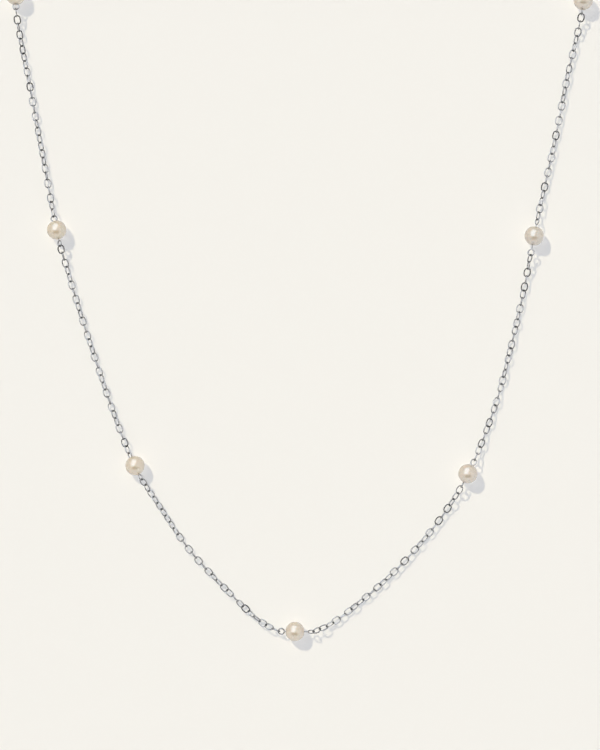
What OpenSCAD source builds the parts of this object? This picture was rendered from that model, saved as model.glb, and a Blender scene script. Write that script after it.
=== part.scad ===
/* [Pearls] */
// Diameter of a pearl
pearl_d = 4; // [3.2:0.1:5]
// Diameter of the hole drilled through a pearl
bore_d = 0.8; // [0.6:0.05:0.9]
// Diameter of the countersunk mouth where the hole meets the pearl's surface
mouth_d = 1.2; // [1:0.05:1.4]
// How far the countersink narrows over its depth, radius by depth
mouth_taper = 0.7; // [0.5:0.05:1]

/* [Pins] */
// Wire of the pin that runs through a pearl
pin_wire = 0.26; // [0.2:0.01:0.36]
// Outside diameter of the round eye at each end of a pin
eye_d = 1.5; // [1.4:0.05:1.9]
// Clear gap between a pearl and an eye drawn up against it
eye_gap = 0.1; // [0.1:0.02:0.4]
// Bare wire between a pearl and an eye that stands farthest off
pin_slack = 1.2; // [0.4:0.1:2]

/* [Chain] */
// Outside length of an oval link
link_l = 2.175; // [2.15:0.025:2.5]
// Outside width of an oval link
link_w = 1.5; // [1.4:0.05:1.7]
// Wire of a link
link_wire = 0.235; // [0.18:0.005:0.26]
// Clear gap where two links hook into each other
link_play = 0.14; // [0.1:0.01:0.2]
// Links over which the chain comes down from a pearl to the surface
drop_links = 5; // [4:1:8]

/* [Clasp] */
// Outside diameter of the clasp's ring
clasp_d = 6.2; // [5.6:0.1:8]
// Thickness of the clasp's ring
clasp_wire = 1.2; // [1:0.05:1.5]
// Outside diameter of the small eye on the clasp
clasp_eye_d = 1.6; // [1.5:0.05:2]
// Wire of the small eye on the clasp
clasp_eye_wire = 0.4; // [0.3:0.02:0.44]
// Outside diameter of the end ring
ring_d = 4; // [3.8:0.1:5]
// Wire of the end ring
ring_wire = 0.6; // [0.5:0.02:0.7]
// How steeply the end ring stands where the clasp holds it
ring_lean = 60; // [52:1:68]
// Clear gap between the clasp and the end ring
clasp_play = 0.12; // [0.1:0.01:0.3]

/* [Hidden] */
$fn = 48;

// Colours of the pearls and of the metal
pearl_colour = "#e6d8c2";
metal_colour = "#b9babd";

// Columns of the pearl table
trail_share = 0;
lead_share = 1;
tilt = 2;
// One row a pearl, from the clasp down the left side, round the bottom and up the right side:
// bare wire before and after the pearl as shares of pin_slack, and the slope of its hole
pearls = [
    [0.20, 0.20, 4],
    [0.40, 0.00, 10],
    [0.00, 0.42, 9],
    [0.00, 0.22, 11],
    [0.30, 0.77, 3],
    [0.06, 0.18, -2],
    [0.92, 0.48, -5],
    [0.00, 0.40, -8],
    [0.20, 0.20, -4]];

// Columns of the stretch table
links = 0;
spread = 1;
turns = 2;
// One row a stretch of chain between two pearls, or between a pearl and the clasp: how many links,
// their spacing as a share of the full pitch, and keys of [link, turn], where the turn is what a
// link has rolled beyond a right angle for every link before it
stretches = [
    [17, 1.000, [[0, 90], [18, 200]]],
    [28, 1.000, [[0, 20], [29, 540]]],
    [28, 0.997, [[0, -10], [25, 175], [27, 212], [29, 270]]],
    [29, 0.998, [[0, -126], [30, 414]]],
    [28, 0.986, [[0, -60], [8, -50], [11, -5], [15, 5], [17, 26], [28, 450], [29, 462]]],
    [28, 0.996, [[0, -65], [1, -50], [2, -50], [15, 180], [17, 180], [22, 270], [25, 270],
        [29, 360]]],
    [29, 0.975, [[0, -30], [10, 270], [14, 424], [16, 400], [18, 450], [20, 510], [21, 512],
        [22, 540], [23, 540], [25, 612], [26, 630], [28, 640], [30, 710]]],
    [28, 0.993, [[0, -65], [2, 0], [5, 90], [9, 90], [10, 130], [12, 180], [16, 180], [19, 270],
        [20, 300], [21, 300], [22, 270], [23, 270], [25, 325], [26, 350], [29, 360]]],
    [28, 1.000, [[0, 0], [29, 520]]],
    [17, 1.000, [[0, 20], [18, 240]]]];

// Route of the chain on the surface from the clasp down the left side and up the right side,
// taken from the bottom pearl
route = [
    [2.3, 173], [-20, 171.4], [-40, 163.8], [-54.8, 150.3], [-57.6, 131.2], [-54.5, 111.5],
    [-51.8, 97], [-49.1, 82.8], [-45.7, 70.4], [-41.8, 58.1], [-37.6, 45.7], [-33, 34.2], [-27.4, 25.1],
    [-21.7, 16.8], [-14.1, 8.6], [-6.5, 1.7], [0, -0.4], [6.5, 1.1], [13.4, 6], [21.7, 13.5],
    [29.9, 23.05], [35.9, 32.9], [41.1, 45.7], [44.5, 58.1], [47.3, 70.4], [49.4, 82],
    [53.3, 99.3], [56.2, 114], [59.5, 130.4], [59.4, 149.9], [44, 163.8], [23, 171.4]];
// Straight pieces that stand for the curve between two points of the route
route_steps = 16;

// The links' spacing when each hangs in the next at the stated gap, and how a link is drawn
pitch = link_l - 2 * link_wire - link_play;
link_end_r = (link_w - link_wire) / 2;
link_straight = link_l - link_w;
rest_z = link_w / 2;

// The mouth of a pearl's hole, and the nearest that the middle of an eye comes to the pearl's middle
pearl_r = pearl_d / 2;
rim_x = sqrt(pow(pearl_r, 2) - pow(mouth_d / 2, 2));
mouth_depth = (mouth_d - bore_d) / 2 / mouth_taper;
eye_ring_r = (eye_d - pin_wire) / 2;
eye_near = rim_x + sqrt(pow(eye_d / 2 + eye_gap, 2) - pow(mouth_d / 2, 2));

// The end ring, and the clasp's ring and eye: the clasp leans on the ring that it holds
ring_r = (ring_d - ring_wire) / 2;
ring_z = ring_wire / 2 + ring_r * sin(ring_lean);
clasp_ring_r = (clasp_d - clasp_wire) / 2;
clasp_tilt = asin((ring_z - clasp_wire / 2) / (2 * clasp_ring_r));
clasp_z = clasp_wire / 2 + clasp_ring_r * sin(clasp_tilt);
clasp_eye_ring_r = (clasp_eye_d - clasp_eye_wire) / 2;
clasp_eye_x = clasp_ring_r * cos(clasp_tilt) + clasp_wire / 2 + clasp_eye_d / 2 - clasp_eye_wire;
clasp_eye_z = clasp_eye_d / 2;
clasp_lead = clasp_eye_x + clasp_eye_d / 2 - clasp_eye_wire - link_play / 2;
ring_trail = ring_r - ring_wire / 2 - link_play / 2;
ring_to_clasp = clasp_ring_r * cos(clasp_tilt) + ring_r - (clasp_wire + ring_wire) / 2 - clasp_play;

// Where the chain hooks into a pin, as a distance from the middle of its pearl along the hole
last = len(pearls) + 1;
function reach(a, side) =
    eye_near + pearls[a - 1][side] * pin_slack + eye_d / 2 - pin_wire - link_play / 2;
function slope(a) = pearls[a - 1][tilt];

// Lengths on the surface, and heights, of the hooks before and after each pearl, clasp and end ring
function trail_s(a) = a == last ? ring_trail : reach(a, trail_share) * cos(slope(a));
function lead_s(a) = a == 0 ? clasp_lead : reach(a, lead_share) * cos(slope(a));
function trail_z(a) = a == last ? ring_z : pearl_r - reach(a, trail_share) * sin(slope(a));
function lead_z(a) = a == 0 ? clasp_eye_z : pearl_r + reach(a, lead_share) * sin(slope(a));

// Heights of a stretch's hooks, how far each link carries along the surface, and each link's roll
function fall(j) = pow(max(0, 1 - j / drop_links), 2);
function hook_z(k, j) = rest_z + (lead_z(k) - rest_z) * fall(j)
    + (trail_z(k + 1) - rest_z) * fall(stretches[k][links] - j);
function carry(k, j) =
    sqrt(pow(pitch * stretches[k][spread], 2) - pow(hook_z(k, j + 1) - hook_z(k, j), 2));
function run(k) =
    [for (j = 0, s = 0; j <= stretches[k][links]; s = s + carry(k, j), j = j + 1) s];
function roll(k, i) = 90 * i + lookup(i, stretches[k][turns]);

// Places along the loop of the clasp, the pearls and the end ring
runs = [for (k = [0:last - 1]) run(k)];
function run_s(k) = runs[k][stretches[k][links]];
function to_next(a) = a < last ? lead_s(a) + run_s(a) + trail_s(a + 1) : 0;
places = [for (a = 0, s = 0; a <= last; s = s + to_next(a), a = a + 1) s];
loop_len = places[last] + ring_to_clasp;

// The route as a smooth closed curve through its points, fitted to the chain's real length
function curve(a, b, c, d, t) =
    0.5 * (2 * b + (c - a) * t + (2 * a - 5 * b + 4 * c - d) * pow(t, 2)
        + (3 * b - a - 3 * c + d) * pow(t, 3));
function point(i) = route[(i + len(route)) % len(route)];
curve_points = [
    for (i = [0:len(route) - 1])
        for (t = [0:route_steps - 1])
            curve(point(i - 1), point(i), point(i + 1), point(i + 2), t / route_steps),
    route[0]];
curve_end = len(curve_points) - 1;
function to_point(i) = i < curve_end ? norm(curve_points[i + 1] - curve_points[i]) : 0;
curve_s = [for (i = 0, s = 0; i <= curve_end; s = s + to_point(i), i = i + 1) s];
fit = loop_len / curve_s[curve_end];
curve_x = [for (i = [0:curve_end]) [curve_s[i] * fit, curve_points[i][0] * fit]];
curve_y = [for (i = [0:curve_end]) [curve_s[i] * fit, curve_points[i][1] * fit]];

// The middle of the whole necklace on the surface
all_x = [for (p = curve_x) p[1]];
all_y = [for (p = curve_y) p[1]];
middle_x = (max(all_x) + min(all_x)) / 2;
middle_y = (max(all_y) + clasp_d / 2 + min(all_y) - pearl_r) / 2;
function along(s) = (s + loop_len) % loop_len;
function at(s, z) = [lookup(along(s), curve_x) - middle_x, lookup(along(s), curve_y) - middle_y, z];
function hook(k, j) = at(places[k] + lead_s(k) + runs[k][j], hook_z(k, j));
function trail_hook(a) = at(places[a] - trail_s(a), trail_z(a));
function lead_hook(a) = at(places[a] + lead_s(a), lead_z(a));

// Puts what is drawn along X on the line from p to q, at a share of its length and rolled about it
module between(p, q, share = 0.5, roll = 0) {
    d = q - p;
    rise = atan2(d[2], norm([d[0], d[1]]));
    translate(p + d * share)
        rotate([roll, -rise, atan2(d[1], d[0])])
            children();
}

// A round ring of wire, flat on XY
module wire_ring(r, d) {
    rotate_extrude()
        translate([r, 0])
            circle(d = d);
}

// An oval link, flat on XY and long in X: two half rings and two short straight sides
module link() {
    for (turn = [0, 180])
        rotate([0, 0, turn]) {
            translate([link_straight / 2, 0, 0])
                rotate([0, 0, -90])
                    rotate_extrude(angle = 180)
                        translate([link_end_r, 0])
                            circle(d = link_wire);
            translate([-link_straight / 2, link_end_r, 0])
                rotate([0, 90, 0])
                    cylinder(d = link_wire, h = link_straight);
        }
}

// Puts what is drawn along X on a pearl's hole
module on_pearl(a) {
    behind = reach(a, trail_share);
    between(trail_hook(a), lead_hook(a), behind / (behind + reach(a, lead_share)))
        children();
}

module pearl(a) {
    out = pearl_r + mouth_depth;
    wide = mouth_d / 2 + (out - rim_x) * mouth_taper;
    throat = rim_x - mouth_depth;
    color(pearl_colour)
        on_pearl(a)
            rotate([0, 90, 0])
                difference() {
                    sphere(d = pearl_d);
                    rotate_extrude()
                        polygon([[0, -out], [wide, -out], [bore_d / 2, -throat], [bore_d / 2, throat],
                            [wide, out], [0, out]]);
                }
}

module pin(a) {
    back = eye_near + pearls[a - 1][trail_share] * pin_slack;
    front = eye_near + pearls[a - 1][lead_share] * pin_slack;
    color(metal_colour)
        on_pearl(a) {
            translate([eye_ring_r - back, 0, 0])
                rotate([0, 90, 0])
                    cylinder(d = pin_wire, h = back + front - 2 * eye_ring_r);
            translate([-back, 0, 0])
                rotate([roll(a - 1, stretches[a - 1][links] + 1), 0, 0])
                    wire_ring(eye_ring_r, pin_wire);
            translate([front, 0, 0])
                rotate([roll(a, 0), 0, 0])
                    wire_ring(eye_ring_r, pin_wire);
        }
}

// A stretch of separate links, each hooked into the next
module chain(k) {
    color(metal_colour)
        for (i = [1:stretches[k - 1][links]])
            between(hook(k - 1, i - 1), hook(k - 1, i), roll = roll(k - 1, i))
                link();
}

// A short end stretch, as the tube that its links fill
module end_chain(k) {
    color(metal_colour)
        polyhedron(tube_points(k - 1), tube_faces(len(tube_stations(k - 1))), convexity = 6);
}

// The tube has a ring every second link, and its ends stay clear of the wires that the chain hooks into
tube_sides = 8;
tube_r = link_w / 2;
tube_gap = 0.2;
function tube_end(wire) = (wire + link_play / 2 + tube_gap) / pitch;
function tube_stations(k) =
    let (n = stretches[k][links])
    [tube_end(k == 0 ? clasp_eye_wire : pin_wire), for (j = [2:2:n - 2]) j,
        n - tube_end(k == last - 1 ? ring_wire : pin_wire)];
function tube_at(k, j) =
    let (i = floor(j), f = j - i)
    hook(k, i) + (f > 0 ? (hook(k, i + 1) - hook(k, i)) * f : [0, 0, 0]);
function tube_points(k) =
    let (stations = tube_stations(k))
    [for (i = [0:len(stations) - 1])
        let (p = tube_at(k, stations[i]),
            q = tube_at(k, stations[min(i + 1, len(stations) - 1)]),
            o = tube_at(k, stations[max(i - 1, 0)]),
            ahead = (q - o) / norm(q - o),
            side = cross([0, 0, 1], ahead) / norm(cross([0, 0, 1], ahead)),
            up = cross(ahead, side))
        for (m = [0:tube_sides - 1])
            p + tube_r * (cos(360 * m / tube_sides) * side + sin(360 * m / tube_sides) * up)];
function tube_faces(rings) = concat(
    [[for (m = [0:tube_sides - 1]) m]],
    [for (i = [0:rings - 2])
        for (m = [0:tube_sides - 1])
            let (n = (m + 1) % tube_sides, b = i * tube_sides)
            [b + m, b + tube_sides + m, b + tube_sides + n, b + n]],
    [[for (m = [tube_sides - 1:-1:0]) (rings - 1) * tube_sides + m]]);

// The clasp's ring leans on the end ring, and its small eye holds the first link
module clasp() {
    color(metal_colour)
        between(at(0, 0), at(clasp_lead, 0), 0) {
            translate([0, 0, clasp_z])
                rotate([0, clasp_tilt, 0])
                    wire_ring(clasp_ring_r, clasp_wire);
            translate([clasp_eye_x, 0, clasp_eye_z])
                rotate([90, 0, 0])
                    wire_ring(clasp_eye_ring_r, clasp_eye_wire);
        }
}

module end_ring() {
    color(metal_colour)
        between(at(-ring_to_clasp, ring_z), at(0, ring_z), 0, ring_lean)
            wire_ring(ring_r, ring_wire);
}

for (a = [1:9])
    pearl(a);
for (a = [1:9])
    pin(a);
for (k = [2:9])
    chain(k);
for (k = [1, 10])
    end_chain(k);
clasp();
end_ring();
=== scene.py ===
import bmesh
import bpy
import numpy as np
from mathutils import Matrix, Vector


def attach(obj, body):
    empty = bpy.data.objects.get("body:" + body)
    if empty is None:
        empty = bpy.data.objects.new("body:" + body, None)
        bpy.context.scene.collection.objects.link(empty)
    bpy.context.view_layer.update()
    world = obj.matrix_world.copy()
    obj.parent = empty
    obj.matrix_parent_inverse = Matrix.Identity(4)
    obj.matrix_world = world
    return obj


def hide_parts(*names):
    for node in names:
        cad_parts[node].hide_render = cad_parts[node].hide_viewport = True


# A station necklace as it lies: nine drilled pearls on eye pins, the cable chain between them, and
# a clasp and an end ring at the back

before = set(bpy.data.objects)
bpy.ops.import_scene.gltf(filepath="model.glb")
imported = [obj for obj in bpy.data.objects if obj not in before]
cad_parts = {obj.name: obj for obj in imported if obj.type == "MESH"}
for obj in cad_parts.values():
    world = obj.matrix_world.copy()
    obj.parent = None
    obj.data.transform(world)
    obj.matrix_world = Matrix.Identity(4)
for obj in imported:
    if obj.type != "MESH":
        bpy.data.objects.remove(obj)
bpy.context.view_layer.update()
mm = 0.001  # pieces are laid out in millimetres and degrees, and Blender's own unit is the metre
draws = np.random.default_rng(seed=41)  # small differences between pieces of one kind
print("frame loaded:", len(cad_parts), "nodes")


# Measures that the layout and several pieces share

bead = {"diameter": 4.0, "bore": 0.8, "mouth": 1.2, "taper": 0.7}  # taper is the mouth's radius by depth
pin = {"wire": 0.26, "eye": 1.5, "gap": 0.1, "slack": 1.2}  # gap lies before the eye, slack is bare wire
cable = {"length": 2.175, "width": 1.5, "wire": 0.235, "play": 0.14, "drop": 5}  # play is a hook's gap
fastener = {"ring": 6.2, "wire": 1.2, "eye": 1.6, "eyeWire": 0.4}  # the clasp's ring and its fixed eye
endLoop = {"ring": 4.0, "wire": 0.6, "lean": 60.0, "play": 0.12}  # play is the gap to the clasp

# One row a pearl, from the clasp down the left side, round the bottom and up the right side:
# bare pin before and after it as shares of the pin's slack, and the slope of its hole
beadRows = [
    [0.20, 0.20, 4], [0.40, 0.00, 10], [0.00, 0.42, 9],
    [0.00, 0.22, 11], [0.30, 0.77, 3], [0.06, 0.18, -2],
    [0.92, 0.48, -5], [0.00, 0.40, -8], [0.20, 0.20, -4],
]

# One row a stretch of chain: links, their spacing as a share of the pitch, and keys of link and turn,
# where the turn is what a link has rolled beyond a right angle for each link before it
stretchRows = [
    [17, 1.000, [[0, 90], [18, 200]]],
    [28, 1.000, [[0, 20], [29, 540]]],
    [28, 0.997, [[0, -10], [25, 175], [27, 212], [29, 270]]],
    [29, 0.998, [[0, -126], [30, 414]]],
    [28, 0.986, [[0, -60], [8, -50], [11, -5], [15, 5], [17, 26], [28, 450], [29, 462]]],
    [28, 0.996, [[0, -65], [1, -50], [2, -50], [15, 180], [17, 180], [22, 270], [25, 270], [29, 360]]],
    [29, 0.975, [[0, -30], [10, 270], [14, 424], [16, 400], [18, 450], [20, 510], [21, 512],
                 [22, 540], [23, 540], [25, 612], [26, 630], [28, 640], [30, 710]]],
    [28, 0.993, [[0, -65], [2, 0], [5, 90], [9, 90], [10, 130], [12, 180], [16, 180], [19, 270],
                 [20, 300], [21, 300], [22, 270], [23, 270], [25, 325], [26, 350], [29, 360]]],
    [28, 1.000, [[0, 0], [29, 520]]],
    [17, 1.000, [[0, 20], [18, 240]]],
]

# Route of the chain from the clasp down the left side and up the right side, taken from the bottom pearl
routePoints = np.array([
    [2.3, 173], [-20, 171.4], [-40, 163.8], [-54.8, 150.3], [-57.6, 131.2], [-54.5, 111.5],
    [-51.8, 97], [-49.1, 82.8], [-45.7, 70.4], [-41.8, 58.1], [-37.6, 45.7], [-33, 34.2], [-27.4, 25.1],
    [-21.7, 16.8], [-14.1, 8.6], [-6.5, 1.7], [0, -0.4], [6.5, 1.1], [13.4, 6], [21.7, 13.5],
    [29.9, 23.05], [35.9, 32.9], [41.1, 45.7], [44.5, 58.1], [47.3, 70.4], [49.4, 82],
    [53.3, 99.3], [56.2, 114], [59.5, 130.4], [59.4, 149.9], [44, 163.8], [23, 171.4]], float)
routeSteps = 16  # straight steps from one point of the route to the next
rightAngle = 90


# Places along the loop: the clasp is place 0, the pearls follow, and the end ring is the last place.
# A stretch of chain joins each place to the next. Its links meet at hooks, and the hooks follow the route

beadR = bead["diameter"] / 2
mouthX = np.sqrt(beadR ** 2 - (bead["mouth"] / 2) ** 2)  # from a pearl's middle to its mouth
eyeNear = mouthX + np.sqrt((pin["eye"] / 2 + pin["gap"]) ** 2 - (bead["mouth"] / 2) ** 2)
pitch = cable["length"] - 2 * cable["wire"] - cable["play"]
restHeight = cable["width"] / 2
loopR = (endLoop["ring"] - endLoop["wire"]) / 2
loopHeight = endLoop["wire"] / 2 + loopR * np.sin(np.radians(endLoop["lean"]))
claspR = (fastener["ring"] - fastener["wire"]) / 2
claspTilt = np.arcsin((loopHeight - fastener["wire"] / 2) / (2 * claspR))
claspHeight = fastener["wire"] / 2 + claspR * np.sin(claspTilt)
claspEyeX = (claspR * np.cos(claspTilt) + fastener["wire"] / 2
             + fastener["eye"] / 2 - fastener["eyeWire"])
claspLead = claspEyeX + fastener["eye"] / 2 - fastener["eyeWire"] - cable["play"] / 2
loopTrail = loopR - endLoop["wire"] / 2 - cable["play"] / 2
loopToClasp = (claspR * np.cos(claspTilt) + loopR
               - (fastener["wire"] + endLoop["wire"]) / 2 - endLoop["play"])
lastPlace = len(stretchRows)


def reach(place, side):  # from a pearl's middle to the hook in its pin, along the hole
    slackShare = beadRows[place - 1][side]
    return eyeNear + slackShare * pin["slack"] + pin["eye"] / 2 - pin["wire"] - cable["play"] / 2


def slopeOf(place):
    return np.radians(beadRows[place - 1][2])


def trail(place):  # length on the surface and height of the hook before a place
    if place == lastPlace:
        return loopTrail, loopHeight
    far = reach(place, 0)
    return far * np.cos(slopeOf(place)), beadR - far * np.sin(slopeOf(place))


def lead(place):  # the same for the hook after a place
    if place == 0:
        return claspLead, fastener["eye"] / 2
    far = reach(place, 1)
    return far * np.cos(slopeOf(place)), beadR + far * np.sin(slopeOf(place))


def stretchRun(k):
    # Over the drop's links, heights fall from a pearl as the square of the links that are left, and
    # each link's step along the surface is what its slope leaves of the pitch
    count, spread, _ = stretchRows[k]
    j = np.arange(count + 1)
    fromStart = np.maximum(0, 1 - j / cable["drop"]) ** 2
    fromEnd = np.maximum(0, 1 - (count - j) / cable["drop"]) ** 2
    startRise = lead(k)[1] - restHeight
    endRise = trail(k + 1)[1] - restHeight
    z = restHeight + startRise * fromStart + endRise * fromEnd
    return z, np.r_[0, np.cumsum(np.sqrt((pitch * spread) ** 2 - np.diff(z) ** 2))]


runs = [stretchRun(k) for k in range(lastPlace)]
spans = [lead(k)[0] + runs[k][1][-1] + trail(k + 1)[0] for k in range(lastPlace)]
places = np.r_[0, np.cumsum(spans)]
loopLength = places[-1] + loopToClasp

# A smooth closed curve through the route's points, stretched to the chain's real length: a cubic runs
# from each point to the next, and its slope at a point is half the way from the point before to the next
step = (np.arange(routeSteps) / routeSteps)[None, :, None]
before, here, after, later = (np.roll(routePoints, turn, 0)[:, None, :] for turn in (1, 0, -1, -2))
curve = 0.5 * (2 * here + (after - before) * step
               + (2 * before - 5 * here + 4 * after - later) * step ** 2
               + (3 * here - before - 3 * after + later) * step ** 3)
curve = np.vstack([curve.reshape(-1, 2), routePoints[:1]])
curveS = np.r_[0, np.cumsum(np.linalg.norm(np.diff(curve, axis=0), axis=1))]
curve = curve * loopLength / curveS[-1]
curveS = curveS * loopLength / curveS[-1]

# The origin is the middle between the widest points, and between the clasp and the lowest pearl
middle = np.array([
    (curve[:, 0].max() + curve[:, 0].min()) / 2,
    (curve[:, 1].max() + fastener["ring"] / 2 + curve[:, 1].min() - beadR) / 2])


def onRoute(s, z):  # the point at a length along the loop and a height above the surface
    s, z = np.broadcast_arrays(np.mod(s, loopLength), z)
    return np.stack([np.interp(s, curveS, curve[:, 0]) - middle[0],
                     np.interp(s, curveS, curve[:, 1]) - middle[1], z], -1)


def rollOf(k, number):  # how far a stretch's link has rolled, by its number from the stretch's start
    keys = np.array(stretchRows[k][2], float)
    return rightAngle * number + np.interp(number, keys[:, 0], keys[:, 1])


def unit(vectors):
    return vectors / np.linalg.norm(vectors, axis=-1, keepdims=True)


def axesAlong(p, q, roll):
    # X runs from p to q, Y starts level beside it, and both Y and Z turn about X by the roll
    x = unit(q - p)
    level = unit(np.cross([0.0, 0.0, 1.0], x))
    up = np.cross(x, level)
    turn = np.radians(np.asarray(roll, float))[..., None]
    return x, np.cos(turn) * level + np.sin(turn) * up, np.cos(turn) * up - np.sin(turn) * level


def beadAxes(place):  # a pearl's middle, the axes of its hole, and the hooks before and after it
    s = places[place]
    p = onRoute(s - trail(place)[0], trail(place)[1])
    q = onRoute(s + lead(place)[0], lead(place)[1])
    back, ahead = reach(place, 0), reach(place, 1)
    return p + (q - p) * back / (back + ahead), axesAlong(p, q, 0.0), p, q


hooks = [onRoute(places[k] + lead(k)[0] + runs[k][1], runs[k][0]) for k in range(lastPlace)]
print("laid out", sum(row[0] for row in stretchRows), "links on a loop of", round(loopLength, 1), "mm")


# Meshes from grids

def addMarks(mesh, marks, shape):  # named values, one a point, spread over an array of the shape
    for key, values in marks.items():
        layer = mesh.attributes.new(key, "FLOAT", "POINT")
        layer.data.foreach_set("value", np.broadcast_to(values, shape).astype(np.float32).ravel())


def gridObject(name, grids, material, capEnds=False, marks=None):
    # A stack of grids, shaped how many, along u, around v, xyz. Every grid closes round v, and round u
    # too unless its two ends are capped with a flat face
    count, nu, nv, _ = grids.shape
    u = np.arange(nu - 1 if capEnds else nu)[:, None]
    v = np.arange(nv)[None, :]
    quads = np.stack([u * nv + v, (u + 1) % nu * nv + v,
                      (u + 1) % nu * nv + (v + 1) % nv, u * nv + (v + 1) % nv], -1).reshape(-1, 4)
    starts = np.arange(count)[:, None, None] * nu * nv
    corners = [(quads[None] + starts).reshape(-1)]
    sizes = [np.full(count * len(quads), 4)]
    if capEnds:
        caps = np.stack([np.arange(nv), (nu - 1) * nv + np.arange(nv)[::-1]])
        corners.append((caps[None] + starts).reshape(-1))
        sizes.append(np.full(count * 2, nv))
    corners, sizes = np.concatenate(corners), np.concatenate(sizes)
    points = grids.reshape(-1, 3)
    mesh = bpy.data.meshes.new(name)
    mesh.vertices.add(len(points))
    mesh.vertices.foreach_set("co", (points * mm).astype(np.float32).ravel())
    mesh.loops.add(len(corners))
    mesh.loops.foreach_set("vertex_index", corners.astype(np.int32))
    mesh.polygons.add(len(sizes))
    mesh.polygons.foreach_set("loop_start", np.r_[0, np.cumsum(sizes)[:-1]].astype(np.int32))
    mesh.polygons.foreach_set("use_smooth", sizes == 4)
    addMarks(mesh, marks or {}, grids.shape[:3])
    mesh.update(calc_edges=True)
    mesh.validate()
    mesh.materials.append(material)
    made = bpy.data.objects.new(name, mesh)
    bpy.context.scene.collection.objects.link(made)
    return made


def handOver(piece, node):  # the piece stands for its node in the finished part
    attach(piece, "root")
    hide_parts(node)


def wireSkin(path, normal, binormal, radius, sides):
    # Carries a circle of the radius along a path: its points are normal times the cosine and
    # binormal times the sine of the angle round the wire, added to the path
    angle = np.arange(sides) * 2 * np.pi / sides
    ring = normal[..., None, :] * np.cos(angle)[:, None] + binormal[..., None, :] * np.sin(angle)[:, None]
    return path[..., None, :] + ring * radius


def nearHooks(points, ends, spread):  # 1 at the spots where pieces touch, falling to 0 past the spread: the mask of painted contact shade and grime
    away = np.min([np.linalg.norm(points - end, axis=-1) for end in ends], axis=0)
    return np.exp(-(away / spread) ** 3)


# Shader maths

class Shade:  # a socket of a shader tree, on which sums and products add Math nodes
    def __init__(self, tree, socket=None):
        self.tree = tree
        self.socket = socket

    def node(self, kind, settings=None, inputs=None, output=0):
        made = self.tree.nodes.new(kind)
        for key, value in (settings or {}).items():
            setattr(made, key, value)
        for key, value in (inputs or {}).items():
            if isinstance(value, Shade):
                self.tree.links.new(value.socket, made.inputs[key])
            else:
                made.inputs[key].default_value = value
        return Shade(self.tree, made.outputs[output] if len(made.outputs) else None)

    def maths(self, operation, a, b):
        return self.node("ShaderNodeMath", {"operation": operation}, {0: a, 1: b})

    def __add__(self, other):
        return self.maths("ADD", self, other)

    def __radd__(self, other):
        return self.maths("ADD", other, self)

    def __sub__(self, other):
        return self.maths("SUBTRACT", self, other)

    def __rsub__(self, other):
        return self.maths("SUBTRACT", other, self)

    def __mul__(self, other):
        return self.maths("MULTIPLY", self, other)

    def __rmul__(self, other):
        return self.maths("MULTIPLY", other, self)

    def mark(self, name):  # a value that the mesh carries at its points
        return self.node("ShaderNodeAttribute", {"attribute_name": name}, output=2)

    def blend(self, one, two):  # the colour one where this is 0, and two where it is 1
        return self.node("ShaderNodeMix", {"data_type": "RGBA"}, {0: self, 6: one, 7: two}, 2)

    def scaled(self, size):  # these coordinates times a number
        return self.node("ShaderNodeVectorMath", {"operation": "SCALE"}, {0: self, 3: size})

    def cloud(self, size, detail, roughness=0.5):  # noise whose lumps are about size across
        return self.node("ShaderNodeTexNoise", None, {
            "Vector": self, "Scale": 1 / size, "Detail": detail, "Roughness": roughness})

    def between(self, low, high):  # from 0 at low to 1 at high, held there
        return self.node("ShaderNodeMapRange", {"interpolation_type": "SMOOTHSTEP"}, {
            0: self, 1: low, 2: high, 3: 0.0, 4: 1.0})


def rgb(red, green, blue):
    return (red, green, blue, 1.0)


def newMaterial(name):  # an empty material, its start for expressions, and the object's own millimetres
    material = bpy.data.materials.new(name)
    material.use_nodes = True
    material.node_tree.nodes.clear()
    start = Shade(material.node_tree)
    return material, start, start.node("ShaderNodeTexCoord", output=3).scaled(1 / mm)


def finishMaterial(start, sockets, fixed):  # links what varies, sets what doesn't, and adds the output
    surface = start.node("ShaderNodeBsdfPrincipled", None, {**fixed, **sockets})
    start.node("ShaderNodeOutputMaterial", None, {0: surface})


# Nacre: rose to cream with clouds of blush and faint growth rings, below a clear lustre

nacre = {
    "cream": rgb(0.675, 0.565, 0.39), "rose": rgb(0.66, 0.565, 0.46), "grey": rgb(0.535, 0.475, 0.39),
    "blush": rgb(0.675, 0.53, 0.42), "blushShare": 0.35,
    "cloudSize": 1.4, "cloudDetail": 3.0, "cloudEdges": (0.35, 0.65), "cloudRoughness": 0.08,
    "ringSize": 0.22, "ringDetail": 4.0, "ringGrain": 0.6, "ringDulls": 0.15,
    "roughness": 0.24, "bump": 0.005 * mm, "bumpStrength": 0.4,
    "index": 2.0, "coat": 1.0, "coatIndex": 2.8, "coatRoughness": 0.125,
    "glow": 0.25, "glowDepth": 1.2 * mm, "glowColour": (1.0, 0.75, 0.5),
}


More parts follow.
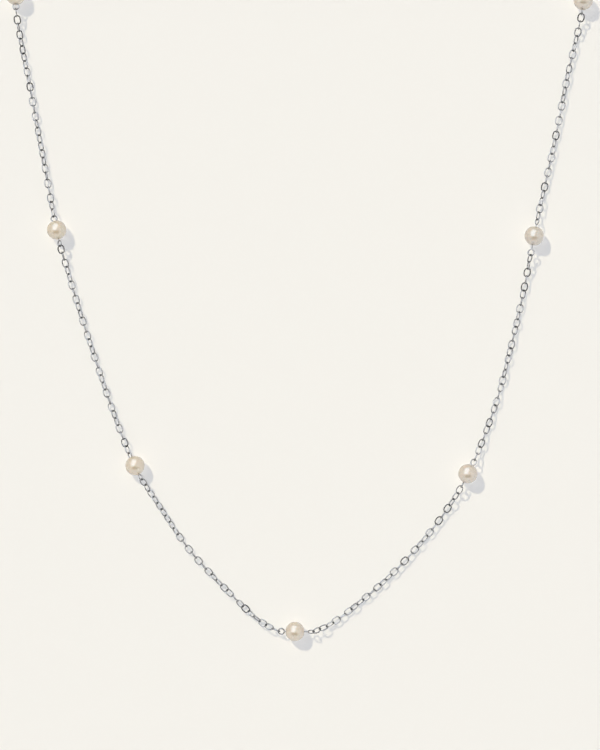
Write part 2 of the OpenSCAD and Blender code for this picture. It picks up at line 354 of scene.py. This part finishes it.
def nacreMaterial():
    # A pearl's own tint lies between rose and cream, greyed by its shade, with blush in slow clouds
    material, start, at = newMaterial("creamNacre")
    clouds = at.cloud(nacre["cloudSize"], nacre["cloudDetail"]).between(*nacre["cloudEdges"])
    rings = at.cloud(nacre["ringSize"], nacre["ringDetail"], nacre["ringGrain"])
    ownTint = start.mark("warmth").blend(nacre["rose"], nacre["cream"])
    tint = start.mark("shade").blend(ownTint, nacre["grey"])
    bump = start.node("ShaderNodeBump", None, {
        "Strength": nacre["bumpStrength"], "Distance": nacre["bump"], "Height": rings})
    finishMaterial(start, {
        "Base Color": (nacre["blushShare"] * clouds).blend(tint, nacre["blush"]),
        "Roughness": nacre["roughness"] + nacre["cloudRoughness"] * clouds,
        "Coat Weight": nacre["coat"] - nacre["ringDulls"] * rings,
        "Normal": bump,
    }, {
        "IOR": nacre["index"], "Coat IOR": nacre["coatIndex"], "Coat Roughness": nacre["coatRoughness"],
        "Subsurface Weight": nacre["glow"], "Subsurface Scale": nacre["glowDepth"],
        "Subsurface Radius": nacre["glowColour"],
    })
    return material


# Silver: bright and lightly scratched, dull where it has tarnished, and near black at the hooks, where
# painted shade stands for the dark where links touch, together with grime

silver = {
    "bright": rgb(0.67, 0.65, 0.64), "tarnished": rgb(0.135, 0.13, 0.13), "dark": rgb(0.02, 0.02, 0.02),
    "cloudSize": 1.1, "cloudDetail": 3.0, "cloudEdges": (0.3, 0.7),
    "tarnishEven": 0.7, "tarnishInClouds": 0.5,
    "scratchSize": 0.06, "scratchDetail": 2.0, "bump": 0.006 * mm, "bumpStrength": 0.5,
    "roughness": 0.16, "wear": 0.12, "grimeRoughness": 0.15,
}


def silverMaterial():
    # Tarnish darkens the metal more in its clouds. At the hooks the colour is painted near black, as
    # shade where pieces touch and as grime, and the grime dulls it there
    material, start, at = newMaterial("wornSilver")
    grimeAndShade = start.mark("grimeAndShade")
    clouds = at.cloud(silver["cloudSize"], silver["cloudDetail"]).between(*silver["cloudEdges"])
    scratches = at.cloud(silver["scratchSize"], silver["scratchDetail"])
    tarnish = start.mark("tarnish") * (silver["tarnishEven"] + silver["tarnishInClouds"] * clouds)
    bump = start.node("ShaderNodeBump", None, {
        "Strength": silver["bumpStrength"], "Distance": silver["bump"], "Height": scratches})
    finishMaterial(start, {
        # the base colour is painted near black at the hooks: painted contact shade together with grime
        "Base Color": grimeAndShade.blend(tarnish.blend(silver["bright"], silver["tarnished"]), silver["dark"]),
        "Roughness": silver["roughness"] + silver["wear"] * clouds + silver["grimeRoughness"] * grimeAndShade,
        "Normal": bump,
    }, {"Metallic": 1.0})
    return material


creamNacre = nacreMaterial()
wornSilver = silverMaterial()
print("materials made")


# Cable chain: oval links of drawn wire. A link reaches just past its two hooks, so that it touches the
# next ones where the solids keep a gap, and its wire is a little thicker than theirs, as in the photo

# the spread sets how far from a hook the painted contact shade and grime reach
link = {"wire": 0.25, "sides": 6, "bendSteps": 6, "rollSpread": 2.0, "contactSpread": 0.42, "tarnish": (0.0, 0.45)}

# Links that have tarnished, by stretch
tarnishedLinks = {2: [2, 4, 6, 11], 3: [1, 28], 4: [23],
                  5: [16, 23, 25], 6: [3, 6, 25, 27], 7: [5, 12, 28]}


def linkStack(k):
    # An oval path of two half circles joined by straight sides, with a round wire carried along it,
    # set between every two hooks of the stretch and rolled about the line between them
    count = stretchRows[k][0]
    p, q = hooks[k][:-1], hooks[k][1:]
    roll = rollOf(k, np.arange(1, count + 1)) + draws.normal(0, link["rollSpread"], count)
    x, y, z = axesAlong(p, q, roll)
    endR = (cable["width"] - link["wire"]) / 2
    straight = np.linalg.norm(q - p, axis=1) + link["wire"] * 2 - cable["width"]
    bend = np.linspace(-np.pi / 2, np.pi / 2, link["bendSteps"])
    around = np.r_[bend, bend + np.pi]
    side = np.r_[np.full(link["bendSteps"], 0.5), np.full(link["bendSteps"], -0.5)]
    out = x[:, None] * np.cos(around)[:, None] + y[:, None] * np.sin(around)[:, None]
    along = x[:, None] * (side[None, :] * straight[:, None])[..., None]
    path = ((p + q) / 2)[:, None] + out * endR + along
    up = np.broadcast_to(z[:, None], out.shape)
    grids = wireSkin(path, out, up, link["wire"] / 2, link["sides"])
    # painted shade, with grime, near the link's two hooks, where it touches the next links
    grimeAndShade = nearHooks(grids, [p[:, None, None], q[:, None, None]], link["contactSpread"])
    tarnish = draws.uniform(*link["tarnish"], count)
    tarnish[np.array(tarnishedLinks.get(k, []), int) - 1] = 1.0
    return grids, {"grimeAndShade": grimeAndShade, "tarnish": tarnish[:, None, None]}


for k in range(lastPlace):
    grids, marks = linkStack(k)
    chain = gridObject(f"cableChain{k + 1}", grids, wornSilver, marks=marks)
    handOver(chain, f"chain_{k + 1}")
print("chains hooked together")


# Eye pins: one wire through a pearl, turned into a round eye at both ends

eyePin = {"sides": 8, "neck": 0.16, "neckSteps": 6, "ringSteps": 30, "stemSteps": 8, "opening": 16.0}


def eyeCurve(eyeX):
    # From the stem a short bend leads onto the eye's circle, which is followed round until the wire's
    # end lies close to the stem again. Points are along the hole and across it
    ringR = (pin["eye"] - pin["wire"]) / 2
    neck = eyePin["neck"]
    bendX = np.sqrt((ringR + neck) ** 2 - neck ** 2)
    meet = np.arcsin(neck / (ringR + neck))
    bend = np.linspace(-np.pi / 2, -meet, eyePin["neckSteps"])
    neckPath = np.stack([eyeX - bendX + neck * np.cos(bend), neck + neck * np.sin(bend)], -1)
    turn = np.linspace(np.pi - meet, -np.pi + np.radians(eyePin["opening"]), eyePin["ringSteps"])
    ringPath = np.stack([eyeX + ringR * np.cos(turn), ringR * np.sin(turn)], -1)
    return np.vstack([neckPath, ringPath[1:]])


def eyePinStack(place):
    # The two eyes and the stem between them are one path, with its own side direction at each point.
    # An eye takes the turn that a link would have at its end of the stretch beside it
    centre, (x, y, z), p, q = beadAxes(place)
    lastNumber = stretchRows[place - 1][0] + 1
    halves = []
    for side, sign, roll in ((0, -1, rollOf(place - 1, lastNumber)), (1, 1, rollOf(place, 0))):
        flat = eyeCurve(reach(place, side) - pin["eye"] / 2 + pin["wire"])
        turn = np.radians(roll)
        across = np.cos(turn) * y + np.sin(turn) * z
        path = centre + sign * flat[:, :1] * x + flat[:, 1:] * across
        halves.append((path, np.cross(x, across)))
    (left, leftUp), (right, rightUp) = halves
    share = np.linspace(0, 1, eyePin["stemSteps"])[1:-1, None]
    stem = left[0] + (right[0] - left[0]) * share
    path = np.vstack([left[::-1], stem, right])
    # The binormal swings from one eye's normal to the other's along the stem
    swing = np.arctan2(np.dot(np.cross(leftUp, rightUp), x), np.dot(leftUp, rightUp))
    turns = np.r_[np.zeros(len(left)), share[:, 0] * swing, np.full(len(right), swing)][:, None]
    up = np.cos(turns) * leftUp + np.sin(turns) * np.cross(x, leftUp)
    out = np.cross(unit(np.gradient(path, axis=0)), up)
    grids = wireSkin(path[None], out[None], up[None], pin["wire"] / 2, eyePin["sides"])
    # painted shade, with grime, near the hooks in the pin's eyes, where the chain touches them
    grimeAndShade = nearHooks(grids, [p, q], link["contactSpread"])
    return grids, {"grimeAndShade": grimeAndShade, "tarnish": draws.uniform(*link["tarnish"])}


for place in range(1, lastPlace):
    grids, marks = eyePinStack(place)
    piece = gridObject(f"eyePin{place}", grids, wornSilver, capEnds=True, marks=marks)
    handOver(piece, f"pin_{place}")
print("eye pins turned")


# Pearls: nearly round, drilled through, with a countersunk mouth at both ends of the hole

pearl = {
    "around": 96, "domeSteps": 48, "sinkSteps": 5, "boreSteps": 6,
    "lipTurn": 0.05,  # radians of dome that are left off for the lip, which rounds the mouth's edge
    "lipAt": (-0.01, 0.02), "lipWidth": 0.03,
    "outOfRound": 0.012, "waves": 3, "waveRate": 0.9,
}

# One row a pearl, in the order of the layout: warmth from rose to cream, and how grey it is
beadTints = [[0.5, 0.1], [0.9, 0.1], [1.0, 0.15], [0.8, 0.0], [0.45, 0.0],
             [0.15, 0.15], [0.2, 0.5], [0.3, 0.3], [0.6, 0.1]]


def pearlProfile():
    # Along the hole and out from it: over the dome from one mouth to the other, round each lip,
    # down the countersink and back through the bore
    top = np.arcsin(bead["mouth"] / 2 / beadR) + pearl["lipTurn"]
    dome = np.linspace(top, np.pi - top, pearl["domeSteps"])
    over = np.stack([-beadR * np.cos(dome), beadR * np.sin(dome)], -1)
    sinkX = mouthX - (bead["mouth"] - bead["bore"]) / 2 / bead["taper"]
    lip = np.array([mouthX, bead["mouth"] / 2]) + pearl["lipAt"]
    sink = np.linspace(lip - pearl["lipWidth"], [sinkX, bead["bore"] / 2], pearl["sinkSteps"])
    boreX = np.linspace(sinkX, -sinkX, pearl["boreSteps"])[1:-1]
    bore = np.stack([boreX, np.full(len(boreX), bead["bore"] / 2)], -1)
    right = np.vstack([lip, sink])
    return np.vstack([over, right, bore, right[::-1] * [-1, 1]])


def pearlStack(place):
    # The profile is turned about the hole, and then its distance from the middle swells and sinks
    # with a few slow waves in chosen directions
    centre, (x, y, z), _, _ = beadAxes(place)
    profile = pearlProfile()
    turn = np.arange(pearl["around"]) * 2 * np.pi / pearl["around"]
    spokes = np.cos(turn)[:, None] * y + np.sin(turn)[:, None] * z
    shape = profile[None, :, :1] * x + profile[None, :, 1:] * spokes[:, None]
    ways = unit(draws.normal(size=(pearl["waves"], 3)))
    phases = draws.uniform(0, 2 * np.pi, pearl["waves"])
    swells = [np.sin(shape @ way * pearl["waveRate"] + phase) for way, phase in zip(ways, phases)]
    waves = np.mean(swells, axis=0)[..., None]
    shape = shape * (1 - pearl["outOfRound"] * (0.5 + 0.5 * waves))
    warmth, shade = beadTints[place - 1]
    return (centre + shape)[None], {"warmth": warmth, "shade": shade}


for place in range(1, lastPlace):
    grids, marks = pearlStack(place)
    handOver(gridObject(f"nacrePearl{place}", grids, creamNacre, marks=marks), f"pearl_{place}")
print("pearls drilled")


# Clasp and end ring: plain soldered rings at the back

ringMake = {"around": 64, "sides": 20, "eyeAround": 40, "eyeSides": 14, "weld": 0.002, "tarnish": 0.17}


def wireRing(centre, x, y, radius, wire, around, sides):
    # A circle in the plane of x and y about the centre, with a round wire carried along it
    turn = np.arange(around) * 2 * np.pi / around
    out = np.cos(turn)[:, None] * x + np.sin(turn)[:, None] * y
    up = np.broadcast_to(np.cross(x, y), out.shape)
    return wireSkin((centre + out * radius)[None], out[None], up[None], wire / 2, sides)


def solder(piece, other):
    # Makes two closed pieces one by an exact union, merges the slivers at its seam, and gives back
    # the points in millimetres, because a union drops the marks and they have to be set after it
    union = piece.modifiers.new("union", "BOOLEAN")
    union.operation = "UNION"
    union.solver = "EXACT"
    union.object = other
    bpy.context.view_layer.objects.active = piece
    piece.select_set(True)
    bpy.ops.object.modifier_apply(modifier=union.name)
    bpy.data.objects.remove(other)
    weld = bmesh.new()
    weld.from_mesh(piece.data)
    bmesh.ops.remove_doubles(weld, verts=weld.verts, dist=ringMake["weld"] * mm)
    weld.to_mesh(piece.data)
    weld.free()
    points = np.empty(len(piece.data.vertices) * 3)
    piece.data.vertices.foreach_get("co", points)
    return points.reshape(-1, 3) / mm


def ringMarks(points, hook):
    # painted shade, with grime, near the hook where the chain touches the ring
    return {"tarnish": ringMake["tarnish"], "grimeAndShade": nearHooks(points, [hook], link["contactSpread"])}


claspFoot = onRoute(0.0, 0.0)
x, y, z = axesAlong(claspFoot, onRoute(claspLead, 0.0), 0.0)
lean = np.cos(claspTilt) * x - np.sin(claspTilt) * z
body = wireRing(claspFoot + z * claspHeight, lean, y, claspR,
                fastener["wire"], ringMake["around"], ringMake["sides"])
eyeR = (fastener["eye"] - fastener["eyeWire"]) / 2
eye = wireRing(claspFoot + x * claspEyeX + z * fastener["eye"] / 2, x, z, eyeR,
               fastener["eyeWire"], ringMake["eyeAround"], ringMake["eyeSides"])
clasp = gridObject("ringClasp", body, wornSilver)
points = solder(clasp, gridObject("claspEye", eye, wornSilver))
addMarks(clasp.data, ringMarks(points, hooks[0][0]), len(points))
handOver(clasp, "clasp")

loopCentre = onRoute(-loopToClasp, loopHeight)
x, y, z = axesAlong(loopCentre, onRoute(0.0, loopHeight), endLoop["lean"])
band = wireRing(loopCentre, x, y, loopR, endLoop["wire"], ringMake["around"], ringMake["sides"])
endRing = gridObject("endRing", band, wornSilver, marks=ringMarks(band, hooks[-1][-1]))
handOver(endRing, "end_ring")
print("clasp and end ring closed")


# Floor: plain and pale. The sizes and distances of the studio are metres from here on

ground = {
    "size": 16.0, "colour": rgb(0.835, 0.815, 0.80), "roughness": 0.8, "shine": 0.1,
    "grain": 0.99, "grainSize": 0.6, "grainDetail": 2.0,  # grain too faint to see, millimetres across
}


def floorMaterial():
    # The colour is blended by a fine cloud with itself, dimmed to the grain's share
    material, start, at = newMaterial("paleFloor")
    grain = at.cloud(ground["grainSize"], ground["grainDetail"])
    dimmed = rgb(*(ground["grain"] * part for part in ground["colour"][:3]))
    finishMaterial(start, {"Base Color": grain.blend(ground["colour"], dimmed)}, {
        "Roughness": ground["roughness"], "Specular IOR Level": ground["shine"]})
    return material


half = ground["size"] / 2
corners = [(-half, -half, 0), (half, -half, 0), (half, half, 0), (-half, half, 0)]
mesh = bpy.data.meshes.new("floor")
mesh.from_pydata(corners, [], [(0, 1, 2, 3)])
mesh.materials.append(floorMaterial())
floor = bpy.data.objects.new("floor", mesh)
bpy.context.scene.collection.objects.link(floor)

# Pearls and wires mirror the room in place of the floor, so that their rims stay clear
floor.visible_glossy = False


# Room: even, but for a dark oval overhead that leans to the viewer's side, where the viewer stands

room = {
    "colour": rgb(0.945, 0.98, 1.02), "strength": 0.19, "inShine": 0.75,
    "floorInShine": rgb(0.90, 0.90, 0.89), "horizon": 0.15,
    "overhead": 0.04, "overheadReach": (0.62, 0.30), "overheadLean": -0.44,
    "overheadBlur": 0.15, "overheadFoot": 0.4,
}


def roomWorld():
    # Away is 1 at the oval's edge, in shares of its reach. What shines mirrors a brighter room than
    # the one that lights the floor, and below the horizon the floor's own tone
    world = bpy.data.worlds.new("greyRoom")
    world.use_nodes = True
    world.node_tree.nodes.clear()
    start = Shade(world.node_tree)
    seen = start.node("ShaderNodeTexCoord", output=0)
    reachX, reachY = room["overheadReach"]
    patch = start.node("ShaderNodeMapping", {"vector_type": "POINT"}, {
        "Vector": seen, "Location": (0.0, -room["overheadLean"] / reachY, 0.0),
        "Scale": (1 / reachX, 1 / reachY, 0.0)})
    away = start.node("ShaderNodeVectorMath", {"operation": "LENGTH"}, {0: patch}, 1)
    height = start.node("ShaderNodeSeparateXYZ", None, {0: seen}, 2)
    oval = 1 - away.between(1 - room["overheadBlur"], 1 + room["overheadBlur"])
    dark = oval * height.between(0.0, room["overheadFoot"])
    shine = start.node("ShaderNodeLightPath", output=3)
    inShine = room["inShine"] * (1 - (1 - room["overhead"]) * dark)
    below = (1 - height.between(-room["horizon"], room["horizon"])) * shine
    background = start.node("ShaderNodeBackground", None, {
        "Color": below.blend(room["colour"], room["floorInShine"]),
        "Strength": room["strength"] * (1 - shine) + inShine * shine})
    start.node("ShaderNodeOutputWorld", None, {0: background})
    return world


bpy.context.scene.world = roomWorld()


# Lights: the key draws the shadows, and the window draws the highlights. A ring of fills and one
# overhead lift everything evenly and draw no shadows, a little more from the side away from the key

keyLamp = {
    "strength": 1.53, "width": 1.6,
    "direction": (-0.62, 0.785), "rise": 44.0, "colour": (1.0, 0.908, 0.66),
}
fillLamps = {"top": 0.62, "ring": 0.47, "count": 6, "rise": 28.0, "width": 12.0, "bias": 0.85}
windowLamp = {
    "power": 100.0, "away": 4.0, "size": (3.9, 7.0), "turn": -40.0,
    "direction": (-0.42, 0.90), "rise": 48.0, "colour": (0.72, 0.86, 1.0),
}


def towards(direction, rise):  # the way from the necklace to a lamp
    flat = Vector((*direction, 0)).normalized()
    return flat * np.cos(np.radians(rise)) + Vector((0, 0, np.sin(np.radians(rise))))


def addLamp(name, kind, direction, rise, away, colour, **settings):
    lamp = bpy.data.lights.new(name, kind)
    lamp.color = colour
    for setting, value in settings.items():
        setattr(lamp, setting, value)
    lampObject = bpy.data.objects.new(name, lamp)
    way = towards(direction, rise)
    lampObject.location = way * away
    lampObject.rotation_euler = way.to_track_quat("Z", "Y").to_euler()
    bpy.context.scene.collection.objects.link(lampObject)
    return lampObject


def addSun(name, direction, rise, colour, strength, width, shadow):  # a sun that nothing mirrors
    sun = addLamp(name, "SUN", direction, rise, 1.0, colour,
                  energy=strength, angle=np.radians(width), use_shadow=shadow)
    sun.visible_glossy = False


addSun("keyLight", keyLamp["direction"], keyLamp["rise"], keyLamp["colour"],
       keyLamp["strength"], keyLamp["width"], True)
behind = np.arctan2(*keyLamp["direction"][::-1]) + np.pi
fills = [((0.0, 1.0), rightAngle, fillLamps["top"])]
for turn in np.arange(fillLamps["count"]) * 2 * np.pi / fillLamps["count"]:
    share = 1 + fillLamps["bias"] * np.cos(turn)
    way = np.cos(behind + turn), np.sin(behind + turn)
    fills.append((way, fillLamps["rise"], fillLamps["ring"] * share))
for i, (direction, rise, strength) in enumerate(fills):
    addSun(f"fillLight{i + 1}", direction, rise, room["colour"][:3], strength, fillLamps["width"], False)
windowLight = addLamp("windowLight", "AREA", windowLamp["direction"], windowLamp["rise"],
                      windowLamp["away"], windowLamp["colour"], energy=windowLamp["power"],
                      shape="RECTANGLE", size=windowLamp["size"][0], size_y=windowLamp["size"][1])
windowLight.visible_diffuse = False
windowLight.rotation_euler.rotate_axis("Z", np.radians(windowLamp["turn"]))


# Camera: straight down, as in the photo, which shows 155 mm of the surface from top to bottom

view = {"away": 0.6, "tall": 0.15505, "centre": (-0.00046, -0.03385), "sensor": 36.0}
camera = bpy.data.cameras.new("camera")
camera.sensor_width = view["sensor"]
camera.lens = view["sensor"] * view["away"] / view["tall"]
cameraObject = bpy.data.objects.new("camera", camera)
cameraObject.location = (*view["centre"], view["away"])
bpy.context.scene.collection.objects.link(cameraObject)
bpy.context.scene.camera = cameraObject
tone = bpy.context.scene.view_settings
tone.view_transform = "Standard"
tone.look = "None"
tone.exposure = 0.0
print("studio set up")
